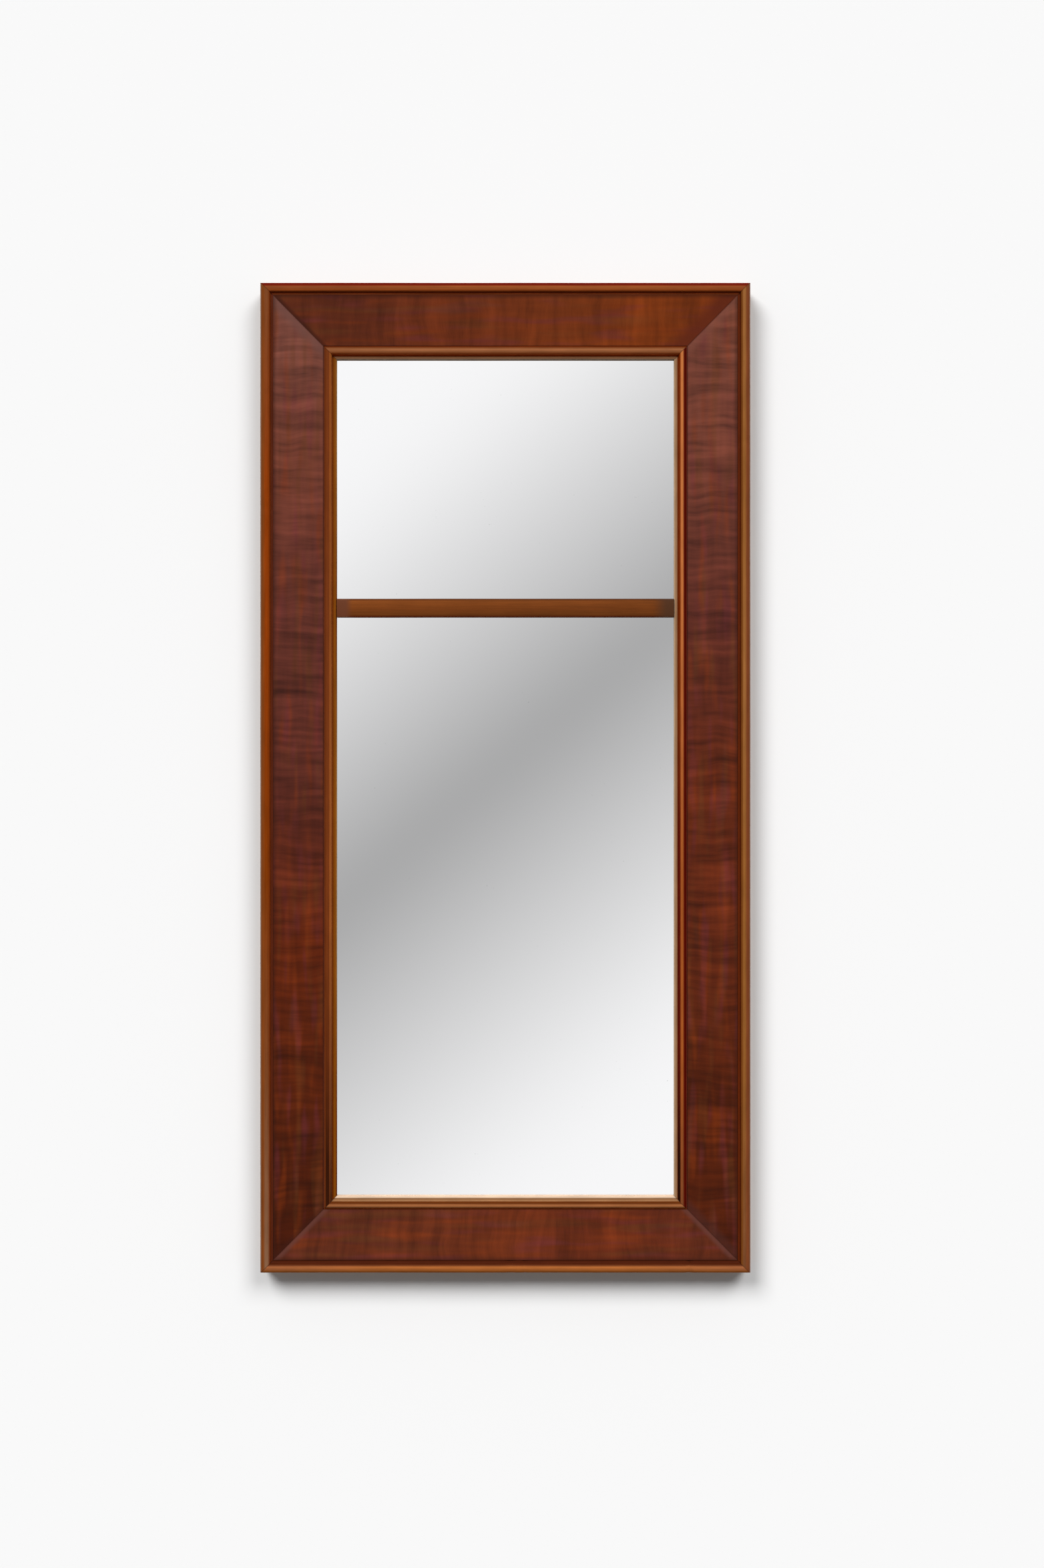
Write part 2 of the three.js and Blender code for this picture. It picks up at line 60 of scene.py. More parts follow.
# ---- Room ----
# A pale room in even light. What shines sees the same pale walls, with a soft grey shade slanting across
# them, which is what the plates give back to someone in front of the mirror.
class Amount:
    """A socket in a finish's node tree. Python's sums and products of amounts add Math nodes."""

    def __init__(self, tree, socket=None):
        self.tree = tree
        self.socket = socket

    def node(self, kind, settings=None, values=None, out=0):
        """Adds a node: its settings go in first, then what its sockets get. Gives one of its outputs."""
        made = self.tree.nodes.new("ShaderNode" + kind)
        for setting, choice in (settings or {}).items():
            if setting == "stops":
                ramp = made.color_ramp
                while len(ramp.elements) < len(choice):
                    ramp.elements.new(0.5)
                for element, (place, colour) in zip(ramp.elements, choice):
                    element.position = place
                    element.color = colour
            else:
                setattr(made, setting, choice)
        for name, value in (values or {}).items():
            if isinstance(value, Amount):
                self.tree.links.new(value.socket, made.inputs[name])
            else:
                made.inputs[name].default_value = value
        return Amount(self.tree, made.outputs[out] if made.outputs else None)

    def maths(self, operation, *terms):
        return self.node("Math", {"operation": operation}, dict(enumerate(terms)))

    def __add__(self, other):
        return self.maths("ADD", self, other)

    def __sub__(self, other):
        return self.maths("SUBTRACT", self, other)

    def __rsub__(self, other):
        return self.maths("SUBTRACT", other, self)

    def __mul__(self, other):
        return self.maths("MULTIPLY", self, other)

    def __truediv__(self, other):
        return self.maths("DIVIDE", self, other)

    def __abs__(self):
        return self.maths("ABSOLUTE", self)

    __radd__ = __add__
    __rmul__ = __mul__


def parts(vector):
    """The x, y and z of a vector."""
    split = vector.node("SeparateXYZ", {}, {0: vector}).socket.node
    return [Amount(vector.tree, out) for out in split.outputs]


def least(first, second):
    return first.maths("MINIMUM", first, second)


def most(first, second):
    return first.maths("MAXIMUM", first, second)


def root(value):
    return value.maths("SQRT", value)


background_level = 0.947
front_light = 0.23
light_from_above = 1.13
light_from_behind = 0.55

# The shade runs up to the right. It is greyest along its middle and turns pale on both sides, a little
# sooner below. Far from the middle, which shows only from other places in the room, it goes grey again.
mirrored_pale = 0.975
mirrored_grey = 0.42
shade_lean = 0.84
shade_shift = 0.015
shade_floor_width = 0.015
shade_slope = 3.25
steeper_below = 0.25
shade_rim_blend = 0.2
far_shade_start = 0.3
far_shade_slope = 1.1
far_shade_depth = 0.34

studio = bpy.data.worlds.new("studio")
studio.use_nodes = True
studio.node_tree.nodes.clear()
bpy.context.scene.world = studio
air = Amount(studio.node_tree)
right, ahead, up = parts(air.node("TexCoord", out="Generated"))
slant = (shade_lean * right - up) / most(0 - ahead, 0.05) + shade_shift
bowl = root(slant * slant + shade_floor_width ** 2) - shade_floor_width
slope = shade_slope + steeper_below * slant.maths("LESS_THAN", slant, 0)
mirrored = bowl.maths("SMOOTH_MIN", mirrored_grey + bowl * slope, mirrored_pale, shade_rim_blend)
far_shade = least(most(abs(slant) - far_shade_start, 0) * far_shade_slope, far_shade_depth)
mirrored = mirrored - far_shade
room_light = most(1 + light_from_above * up, 0) * front_light + light_from_behind * most(ahead, 0)
seen_by_camera = air.node("LightPath", out="Is Camera Ray")
seen_in_gloss = air.node("LightPath", out="Is Glossy Ray")
plain_light = room_light + seen_by_camera * (background_level - room_light)
seen_light = plain_light + seen_in_gloss * (mirrored - plain_light)
sky = air.node("Background", {}, {"Color": seen_light})
air.node("OutputWorld", {}, {"Surface": sky})


def new_finish(name):
    """An empty finish, and an amount to start its node tree from."""
    finish = bpy.data.materials.new(name)
    finish.use_nodes = True
    finish.node_tree.nodes.clear()
    return finish, Amount(finish.node_tree)


def pale_sheet(name, corners, level):
    """A flat sheet of the room that only the camera sees, and only from its front."""
    finish, start = new_finish(name)
    paint_values = {"Base Color": (level, level, level, 1), "Roughness": 1.0, "Specular IOR Level": 0.0}
    paint = start.node("BsdfPrincipled", {}, paint_values)
    clear = start.node("BsdfTransparent")
    seen = start.node("LightPath", out="Is Camera Ray") * (1 - start.node("NewGeometry", out="Backfacing"))
    shown = start.node("MixShader", {}, {0: seen, 1: clear, 2: paint})
    start.node("OutputMaterial", {}, {"Surface": shown})
    mesh = bpy.data.meshes.new(name)
    mesh.from_pydata(corners, [], [(0, 1, 2, 3)])
    mesh.materials.append(finish)
    sheet = bpy.data.objects.new(name, mesh)
    bpy.context.collection.objects.link(sheet)


wall_y, wall_reach, wall_top, wall_level = 0.0095, 5, 4, 0.92
floor_z, floor_reach, floor_level = -1.75, 6, 0.692
wall_ends = [(-wall_reach, floor_z), (wall_reach, floor_z), (wall_reach, wall_top), (-wall_reach, wall_top)]
pale_sheet("wall", [(x, wall_y, z) for x, z in wall_ends], wall_level)
floor_signs = [(-1, -1), (1, -1), (1, 1), (-1, 1)]
pale_sheet("floor", [(x * floor_reach, y * floor_reach, floor_z) for x, y in floor_signs], floor_level)


def studio_lamp(name, towards, strength, softness):
    """A broad far lamp in the direction given, as a viewer of the mirror would point to it."""
    light = bpy.data.lights.new(name, "SUN")
    light.energy = strength
    light.angle = math.radians(softness)
    lamp = bpy.data.objects.new(name, light)
    lamp.rotation_euler = Vector(towards).to_track_quat("Z", "Y").to_euler()
    bpy.context.collection.objects.link(lamp)


studio_lamp("key_lamp", towards=(-0.377, -0.727, 0.574), strength=2.10, softness=26)
studio_lamp("fill_lamp", towards=(0.367, -0.732, 0.574), strength=1.35, softness=26)
studio_lamp("back_lamp", towards=(0.35, 0.8, 0.45), strength=1.5, softness=50)


# ---- Frame core ----
# The hidden frame that carries everything is pine, mitred at the corners. Its back has gone brown with age,
# and its outer edges are stained to go with the mahogany.
def shade(red, green, blue):
    """A colour by its screen values, 0 to 255, as the linear numbers that a shader takes."""
    screen = [value / 255 for value in (red, green, blue)]
    linear = [((c + 0.055) / 1.055) ** 2.4 if c > 0.04 else c / 12.92 for c in screen]
    return (*linear, 1.0)


def ease(value, low, high):
    """0 below low and 1 above high, smooth between. With high below low it falls instead."""
    values = {"Value": value, "From Min": low, "From Max": high}
    return value.node("MapRange", {"interpolation_type": "SMOOTHSTEP"}, values, "Result")


def cloud(x, y, z, detail=2.0, roughness=0.5):
    """Soft noise about 0.5. What each place in mm is divided by is the size of its marks that way."""
    point = x.node("CombineXYZ", {}, {0: x, 1: y, 2: z})
    values = {"Vector": point, "Scale": 1.0, "Detail": detail, "Roughness": roughness}
    return x.node("TexNoise", {}, values, "Fac")


def tint(factor, plain, full):
    """The plain colour, going over to the full one with the factor."""
    return factor.node("Mix", {"data_type": "RGBA"}, {0: factor, 6: plain, 7: full}, 2)


def deepened(colour, strength):
    """A colour made darker or lighter by an amount about 1."""
    return strength.node("VectorMath", {"operation": "SCALE"}, {0: colour, "Scale": strength})


def millimetres(start):
    """The place on the piece in millimetres: across to the right, out to the front and up."""
    x, y, z = parts(start.node("TexCoord", out="Object"))
    return x * 1000, y * -1000, z * 1000


def lay_on(start, colour, height=None, depth=0.0, **values):
    """The finish's shader: its colour, its relief in mm, and its plain values by name."""
    values = {name.replace("_", " "): value for name, value in values.items()}
    values["Base Color"] = colour
    if height is not None:
        bump = {"Strength": 1.0, "Distance": depth * 0.001, "Height": height}
        values["Normal"] = start.node("Bump", {}, bump)
    start.node("OutputMaterial", {}, {"Surface": start.node("BsdfPrincipled", {}, values)})


half_width = 300
half_height = 606
middle_z = -571


def from_edge(x, z):
    """How far in from the frame's outer edge a place is, in mm."""
    return least(half_width - abs(x), half_height - abs(z - middle_z))


def pine_grain(along, across, front, seed):
    """The late wood's lines, 0 to 1, and the fibres of a length of pine."""
    wander = cloud(along / 420 + seed, across / 70, front / 60, 1)
    lines = cloud(along / 900 + seed, across / 2.6 + wander * 7, front / 5, 2)
    fibres = cloud(along / 26, across * 1.4 + seed, front * 1.4)
    return ease(lines, 0.42, 0.7), fibres


def old_pine(name, upright, seed, pale, dark, edges_stained=False):
    """Pine that has never been polished, with its growth rings, its fibres and the stains of age."""
    finish, start = new_finish(name)
    x, front, z = millimetres(start)
    along, across = (z, x) if upright else (x, z)
    lines, fibres = pine_grain(along, across, front, seed)
    stains = cloud(along / 90, across / 50 + seed, front / 50, 4)
    colour = tint(lines * 0.6, pale, dark)
    colour = deepened(colour, 0.4 + fibres * 0.45 + stains * 0.75)
    if edges_stained:
        edge = ease(from_edge(x, z), 1.4, 0.5)
        worn = ease(cloud(x / 14, z / 14, front / 5, 4), 0.62, 0.72)
        colour = tint(edge * (1 - worn * 0.5), colour, shade(66, 32, 20))
    relief = lines * 0.5 + fibres * 0.5
    lay_on(start, colour, relief, 0.2, Roughness=0.78, Specular_IOR_Level=0.2)
    return finish


def soften_edges(node, width, finish):
    """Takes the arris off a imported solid's edges and gives it its finish."""
    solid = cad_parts[node]
    bevel = solid.modifiers.new("eased_edges", "BEVEL")
    bevel.width = width * 0.001
    bevel.segments = 2
    bevel.limit_method = "ANGLE"
    bevel.angle_limit = math.radians(40)
    solid.data.materials.clear()
    solid.data.materials.append(finish)
    for face in solid.data.polygons:
        face.material_index = 0


core_pale, core_dark = shade(152, 112, 68), shade(104, 68, 38)
rail_pine = old_pine("rail_pine", False, 3.0, core_pale, core_dark, True)
stile_pine = old_pine("stile_pine", True, 11.0, core_pale, core_dark, True)
sides = ("top_rail", "right_stile", "bottom_rail", "left_stile")
for side in sides:
    soften_edges("core_" + side, 0.35, rail_pine if side.endswith("rail") else stile_pine)


# ---- Corner keys ----
# A three-cornered hardwood key is glued into a slot across each mitre, and its edges show as thin lines on
# the frame's sides.
def close_hardwood(name, seed, pale, dark):
    """A fine even hardwood, a little darker along its pores."""
    finish, start = new_finish(name)
    x, front, z = millimetres(start)
    flow = cloud(x / 120 + seed, z / 16, front / 16, 3)
    pores = cloud(x / 7, z * 2.2, front * 2.2 + seed, 2)
    colour = tint(ease(flow, 0.35, 0.65), pale, dark)
    colour = deepened(colour, 1.1 - ease(pores, 0.6, 0.75) * 0.35)
    lay_on(start, colour, pores, -0.08, Roughness=0.6, Specular_IOR_Level=0.25)
    return finish


key_wood = close_hardwood("key_wood", 5.0, shade(112, 72, 44), shade(82, 48, 28))
for corner in ("top_left", "top_right", "bottom_left", "bottom_right"):
    soften_edges("corner_spline_" + corner, 0.2, key_wood)

# ---- Veneered field ----
# The broad sloping field is faced with rippled mahogany, cut so that its grain runs across each side. Each
# side is one run of veneer with its own tone, glued to the core and polished.
side_turns = {"top_rail": 0, "right_stile": 90, "bottom_rail": 180, "left_stile": 270}


def side_span(side):
    """A side's length along the frame's outer edge, in mm."""
    return 2 * (half_width if side.endswith("rail") else half_height)


def on_side(side, s, u, v):
    """The place s along a side from its middle, u in from the outer edge and v before the back, in mm."""
    turn = math.radians(side_turns[side])
    reach = (half_height if side.endswith("rail") else half_width) - u
    x = s * math.cos(turn) + reach * math.sin(turn)
    z = reach * math.cos(turn) - s * math.sin(turn)
    return Vector((x, -v, z + middle_z)) * 0.001


def skinned(shape, rings):
    """Joins each ring of points to the next, closes both ends and turns the faces outwards."""
    for near, far in zip(rings, rings[1:]):
        for i in range(len(near)):
            j = (i + 1) % len(near)
            shape.faces.new((near[i], near[j], far[j], far[i]))
    shape.faces.new(rings[0])
    shape.faces.new(rings[-1][::-1])
    bmesh.ops.recalc_face_normals(shape, faces=shape.faces)
    return shape


mitre_gap = 0.1


def run_moulding(side, section, step, uneven):
    """A closed section of (u, v) run along one side, unevenly as given, and mitred at both ends."""
    half = side_span(side) / 2
    rows = round(2 * half / step)
    shape = bmesh.new()
    rings = []
    for row in range(rows + 1):
        share = 2 * row / rows - 1
        ring = []
        for u, v in section:
            s = share * (half - u - mitre_gap / 2)
            ring.append(shape.verts.new(on_side(side, s, *uneven(s, u, v))))
        rings.append(ring)
    return skinned(shape, rings)


sharpest_bend = math.radians(35)


def put_in_place(name, shape, finish, solids, body="frame"):
    """Makes a piece of a bmesh: smooth but for its arrises, and standing for the solids named."""
    mesh = bpy.data.meshes.new(name)
    shape.to_mesh(mesh)
    shape.free()
    mesh.materials.append(finish)
    mesh.shade_smooth()
    mesh.set_sharp_from_angle(angle=sharpest_bend)
    piece = bpy.data.objects.new(name, mesh)
    bpy.context.collection.objects.link(piece)
    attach(piece, body)
    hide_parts(*solids)


def drift(seed, s, length, u=0.0, width=1.0):
    """Slow unevenness from -1 to 1 along a side."""
    return noise.noise(Vector((s / length, u / width, seed)))


field_start, field_end = 16.0, 76.8
field_outer, field_inner = 32.0, 24.5
veneer_thickness = 1.2
veneer_unevenness = 0.1
broken_arris = 0.2
field_steps = 16
row_spacing = 5


def field_height(u):
    """The height of the sloping face over the back, from its outer to its inner edge."""
    return field_outer + (u - field_start) * (field_inner - field_outer) / (field_end - field_start)


def veneer_section():
    """The veneer's face with its two arrises just broken, and its glued back."""
    width = field_end - field_start - 2 * broken_arris
    rows = [field_start + broken_arris + width * i / field_steps for i in range(field_steps + 1)]
    face = [(u, field_height(u)) for u in rows]
    start = [(field_start, field_outer - veneer_thickness), (field_start, field_outer - broken_arris)]
    end = [(field_end, field_inner - broken_arris), (field_end, field_inner - veneer_thickness)]
    return start + face + end


def side_places(start, side):
    """Amounts s, u and v in mm for a side, and the distance from its nearer mitre."""
    x, front, z = millimetres(start)
    z = z - middle_z
    s, u = {
        "top_rail": (x, half_height - z),
        "right_stile": (0 - z, half_width - x),
        "bottom_rail": (0 - x, half_height + z),
        "left_stile": (z, half_width + x),
    }[side]
    mitre = (side_span(side) / 2 - abs(s) - u) * math.sqrt(0.5)
    return s, u, front, mitre


def tones_along(side, s, tones):
    """A run of tones set out evenly from one end of a side to the other, left to right or top to bottom."""
    forwards = side in ("top_rail", "right_stile")
    share = s / side_span(side) * (1 if forwards else -1) + 0.5
    stops = [(i / (len(tones) - 1), tone) for i, tone in enumerate(tones)]
    return share.node("ValToRGB", {"stops": stops}, {0: share}, "Color")


# A dark brown for dirty joints, and also for painted shade beside the quirks.
grime_and_shade = shade(52, 20, 9)
orange_flash, plum_flash, brown_flash = shade(120, 48, 12), shade(98, 40, 44), shade(92, 50, 22)
flash_strength = 0.42
bar_spacing = 10.472


def veneer_polish(side, seed, figure, tones, ends):
    """Polished cross-banding, whose grain lies along u and leans a little.

    figure is how strong its broad bands, its ripples and its even fiddleback bars are. ends gives the tone
    beside the start and end mitres, how far it reaches and how strong it is; the pale ones are painted sheen.
    """
    finish, start = new_finish(side + "_veneer")
    s, u, _, mitre = side_places(start, side)
    lean = cloud(s / 110 + seed, u / 55, 0, 1) * 16
    flow = s + lean + cloud(s / 24, u / 15 + seed, 0, 1)
    bands = cloud(flow / 27 + seed, u / 160, 0)
    ripples = cloud(flow / 9, u / 90 + seed, 0)
    where_barred = ease(cloud(s / 70 + seed, u / 60 + seed, 0, 1), 0.4, 0.6)
    bars = flow.maths("SINE", flow * (2 * math.pi / bar_spacing)) * where_barred
    streaks = cloud(flow / 4.2, u / 42 + seed, 0, 3, 0.6)
    fine = cloud(flow * 0.9, u / 14 + seed, 0)
    patches = cloud(s / 46 + seed, u / 26, 0)
    sheens = cloud(s / 120 + seed, u / 10, 0)
    colour = tones_along(side, s, tones)
    for turn, length, tone in ((1, 95, orange_flash), (2, 80, plum_flash), (3, 110, brown_flash)):
        flash = cloud(s / length + seed * turn, u / 13 + turn, 0, 1)
        colour = tint(ease(flash, 0.5, 0.74) * flash_strength, colour, tone)
    broad, rippled, barred = figure
    strength = (bands - 0.5) * broad + (ripples - 0.5) * rippled + bars * barred
    strength = strength + streaks * 0.3 + fine * 0.2 + patches * 0.5 + sheens * 0.5 + 0.25
    colour = deepened(colour, strength - ease(streaks, 0.6, 0.74) * 0.16)
    # Tones by the mitres: the dark ones are dirty joints, and the pale ones are a painted sheen.
    for end_sign, (end_tone, reach, amount) in zip((-1, 1), ends):
        at_end = ease(s * end_sign, 0, 10) * ease(mitre, reach, reach * 0.25) * amount
        colour = tint(at_end, colour, end_tone)
    # Beside both quirks the veneer is darkened, partly by grime and partly by painted shade cast by the
    # beads. Along the mitre the darkening is a dirty joint.
    edges = most(ease(u, 21.5, 16.4) * 0.55, ease(u, 75.0, 76.8) * 0.35)
    joint = ease(mitre, 1.4, 0.1) * 0.45
    colour = tint(most(edges, joint), colour, grime_and_shade)
    relief = streaks * 0.5 + fine * 0.3
    rough = 0.36 + fine * 0.16
    lay_on(start, colour, relief, 0.05, Roughness=rough, Specular_IOR_Level=0.08)
    return finish


rosy_sheen, rosy_brown, rosy_plum = shade(112, 60, 45), shade(106, 54, 40), shade(92, 44, 34)
grey_rose, plum_brown, red_brown = shade(117, 68, 56), shade(84, 37, 27), shade(90, 34, 13)
ember, chestnut, dark_chestnut = shade(118, 50, 12), shade(101, 41, 15), shade(86, 36, 17)
warm_chestnut, light_chestnut, rust_brown = shade(107, 45, 18), shade(113, 49, 17), shade(91, 32, 7)
umber, deep_umber = shade(75, 26, 5), shade(58, 17, 2)
mitre_sheen, dark_joint = shade(94, 54, 46), shade(58, 22, 12)

# Down each stile the tones run from a greyish rose at the top, which is a painted sheen, to dark umber at the
# bottom. This is a painted light gradient.
# Each side's seed, figure, tones and ends.
veneer_runs = {
    "top_rail": (2.0, (1.1, 0.6, 0.02),
                 [dark_chestnut, dark_chestnut, warm_chestnut, light_chestnut, ember, ember],
                 [(dark_joint, 6, 0.7), (shade(90, 33, 16), 26, 0.8)]),
    "right_stile": (7.0, (1.2, 1.4, 0.06),
                    [rosy_sheen, rosy_brown, plum_brown, red_brown, red_brown, umber, umber],
                    [(shade(118, 68, 54), 12, 0.5), (shade(66, 34, 28), 14, 0.6)]),
    "bottom_rail": (13.0, (0.9, 0.8, 0.03),
                    [dark_chestnut, dark_chestnut, chestnut, red_brown, dark_chestnut],
                    [(mitre_sheen, 8, 0.7), (mitre_sheen, 8, 0.7)]),
    "left_stile": (23.0, (0.8, 1.4, 0.07),
                   [grey_rose, rosy_brown, rosy_plum, plum_brown, rust_brown, umber, deep_umber],
                   [(dark_joint, 7, 0.5), (shade(106, 68, 60), 16, 0.7)]),
}
for side, (seed, figure, tones, ends) in veneer_runs.items():
    def veneer_lies(s, u, v, seed=seed):
        return u, v + veneer_unevenness * drift(seed, s, 45, u, 22)

    shape = run_moulding(side, veneer_section(), row_spacing, veneer_lies)
    finish = veneer_polish(side, seed, figure, tones, ends)
    put_in_place(side + "_veneer", shape, finish, ["veneer_" + side])

# ---- Outer bead ----
# A bead of solid mahogany, worked with a plane and polished, glued round the frame's front edge. It rolls
# over to the side and drops to a narrow quirk beside the field, where wax and dust have gone dark.
bead_base, bead_shoulder_v = 22.3, 24.6
bead_crown_u, bead_crown_v = 8.5, 36.0
roll_start_v = 27.0
drop_run, drop_end_v = 4.2, 31.2
quirk_v, quirk_start, quirk_end, bead_end = 31.05, 13.0, 15.4, 15.7
bead_glued_below = 24
bead_wander, bead_ripple = 0.14, 0.12
bead_row_spacing = 4


def quarter(centre_u, centre_v, run, rise, start, end, steps):
    """Points on part of an ellipse, from one angle in degrees to another."""
    angles = [math.radians(start + (end - start) * i / steps) for i in range(steps + 1)]
    return [(centre_u + run * math.cos(a), centre_v + rise * math.sin(a)) for a in angles]


def outer_bead_section():
    roll = quarter(bead_crown_u, roll_start_v, bead_crown_u, bead_crown_v - roll_start_v, 180, 90, 14)
    drop = quarter(bead_crown_u, drop_end_v, drop_run, bead_crown_v - drop_end_v, 90, 0, 9)[1:]
    quirk = [(quirk_start, quirk_v), (quirk_end, quirk_v), (bead_end, drop_end_v), (bead_end, bead_base)]
    return [(0, bead_base), (0, bead_shoulder_v)] + roll + drop + quirk


def dented(seed, nicks, still_below):
    """Slight wander along a bead, with soft dents where it has been knocked.

    nicks are (s, length, depth). What lies below the height still_below stays as it was.
    """
    def uneven(s, u, v):
        shift = bead_wander * drift(seed, s, 120) * min(1, v / 30)
        sink = bead_ripple * drift(seed + 5, s, 60)
        for place, length, deep in nicks:
            reach = abs(s - place) / (length / 2)
            if reach < 1:
                sink -= deep * (1 - reach ** 2) ** 2
        return (u + shift, v + sink) if v > still_below else (u, v)
    return uneven


def bead_polish(name, side, seed, crown, crown_tones, flanks, bands):
    """Polished straight-grained mahogany, with a painted highlight along its crown.

    crown is the place and half width of the painted highlight, in mm from the frame's edge, and crown_tones
    go along it. flanks are the tones outside and inside of it, with painted light and shade in them. bands
    lists (from, to, tone, amount) for the edges, quirks and lips, which differ from both; some of them are
    painted highlights and reflections, and some paint light into shaded quirks. A list of tones runs along
    the side.
    """
    finish, start = new_finish(name)
    s, u, front, mitre = side_places(start, side)
    streaks = cloud(s / 60 + seed, u * 0.9, front * 0.9, 3, 0.6)
    fine = cloud(s / 6, u * 3 + seed, front * 3, 2)
    patches = cloud(s / 30 + seed, u / 9, front / 9, 3)
    place, reach = crown
    # The bright crown is a painted highlight.
    crown_highlight = ease(abs(u - place), reach, reach * 0.3)
    flank = tint(ease(u, place - 0.5, place + 0.5), *flanks)
    colour = tint(crown_highlight, flank, tones_along(side, s, crown_tones))
    for low, high, tone, amount in bands:
        middle, half = (low + high) / 2, (high - low) / 2
        if isinstance(tone, list):
            tone = tones_along(side, s, tone)
        colour = tint(ease(abs(u - middle), half + 0.5, half - 0.4) * amount, colour, tone)
    colour = deepened(colour, 0.4 + streaks * 0.6 + fine * 0.2 + patches * 0.4)
    dirty = ease(mitre, 0.7, 0.15) * 0.45
    colour = tint(dirty, colour, grime_and_shade)
    rough = 0.34 + fine * 0.12 + (1 - crown_highlight) * 0.12
    lay_on(start, colour, streaks * 0.6 + fine * 0.4, 0.06, Roughness=rough, Specular_IOR_Level=0.03)
    return finish


amber, copper, toffee, pale_grey_tan = shade(138, 57, 5), shade(122, 53, 5), shade(120, 67, 34), shade(130, 92, 66)
honey, sandy, gingerbread = shade(150, 97, 50), shade(140, 88, 40), shade(114, 68, 40)
russet, tawny = shade(126, 62, 27), shade(139, 72, 31)
buff, buff_end = shade(182, 106, 52), shade(168, 100, 60)
# The crown tones are painted highlights. The bottom bead's bright outer flank is painted light from below.
# The top bead's inner flank and the first strip of its quirk are painted lighter against their shade. The
# pale bands at the left and right outer edges are a painted reflection. The left crown grows paler and greyer
# at its bottom end.
# Each side's seed, crown, tones along the crown, flanks, bands and nicks.
outer_runs = {
    "top_rail": (31.0, (7.0, 3.3), [russet, russet, tawny, tawny, tawny, russet],
                 (shade(128, 44, 8), shade(160, 78, 32)),
                 [(1.2, 4.7, shade(98, 14, 2), 0.9), (12.2, 13.9, shade(150, 60, 22), 0.9),
                  (14.2, 17, shade(70, 27, 9), 0.9)], []),
    "right_stile": (37.0, (7.8, 2.9), [honey, sandy, honey, sandy, sandy, gingerbread],
                    (shade(128, 68, 36), shade(118, 66, 24)),
                    [(-1, 2, shade(146, 92, 60), 0.6), (11.9, 17, shade(90, 32, 7), 0.95)],
                    [(-410, 14, 0.5)]),
    "bottom_rail": (41.0, (6.4, 4.5), [buff_end, buff, buff, buff, buff_end],
                    (shade(214, 118, 40), shade(82, 36, 14)),
                    [(11.6, 17, shade(74, 28, 10), 0.9)],
                    [(-225, 9, 1.6), (-6, 16, 0.9), (-24, 9, 1.1), (140, 20, 0.5)]),
    "left_stile": (43.0, (8.4, 4.4), [toffee, amber, amber, copper, toffee, pale_grey_tan],
                   (shade(126, 64, 22), shade(136, 56, 14)),
                   [(-1, 2, shade(150, 114, 90), 0.6), (12.9, 17, shade(78, 32, 17), 0.9)],
                   [(330, 18, 0.5)]),
}
for side, (seed, crown, tones, flanks, bands, nicks) in outer_runs.items():
    lies = dented(seed, nicks, bead_glued_below)
    shape = run_moulding(side, outer_bead_section(), bead_row_spacing, lies)
    finish = bead_polish(side + "_outer_bead", side, seed, crown, tones, flanks, bands)
    put_in_place(side + "_outer_bead", shape, finish, ["outer_bead_" + side])

# ---- Sight moulding ----
# The inner edge is one mahogany moulding: a bead beside the field, bright with a painted highlight along its
# crown, a fine quirk, and a small lip that stands over the glass and holds it from the front.
sight_start, sight_edge, sight_base = 77.1, 93.0, 18.3
inner_bead_u, inner_bead_half = 82.8, 4.6
inner_bead_foot_v, inner_bead_rise = 24.1, 4.4
lip_u, lip_half, lip_crown_v, lip_edge_v = 90.95, 2.05, 22.4, 21.0
lip_quirk_v, lip_quirk_start, lip_quirk_end = 21.8, 87.5, 88.6
sight_arris = 0.15
sight_glued_below = 20.7


def sight_section():
    foot = inner_bead_foot_v
    start = [(sight_start, sight_base), (sight_start, foot - sight_arris), (sight_start + sight_arris, foot),
             (inner_bead_u - inner_bead_half - 0.2, foot)]
    bead = quarter(inner_bead_u, foot, inner_bead_half, inner_bead_rise, 180, 0, 18)
    quirk = [(lip_quirk_start, lip_quirk_v + sight_arris), (lip_quirk_start + 0.25, lip_quirk_v),
             (lip_quirk_end, lip_quirk_v)]
    lip = quarter(lip_u, lip_quirk_v, lip_half, lip_crown_v - lip_quirk_v, 180, 90, 5)
    lip += quarter(lip_u, lip_edge_v, lip_half, lip_crown_v - lip_edge_v, 90, 0, 5)[1:]
    return start + bead + quirk + lip + [(sight_edge, sight_base)]


tan, pale_tan = shade(148, 80, 33), shade(156, 86, 38)
fawn, pale_fawn = shade(146, 89, 54), shade(168, 105, 62)
pale_honey, warm_honey, ginger = shade(186, 109, 58), shade(174, 98, 50), shade(154, 80, 34)
dull_ginger, dull_tan, darkest_brown = shade(96, 58, 38), shade(112, 60, 30), shade(44, 16, 4)
flank_brown, dull_flank = shade(112, 52, 19), shade(92, 40, 14)
red_quirk, dull_quirk, black_quirk = shade(114, 40, 2), shade(84, 6, 0), shade(8, 0, 0)
pale_lip_glow, rusty_lip, dark_lip = shade(158, 112, 62), shade(112, 52, 8), shade(62, 0, 0)
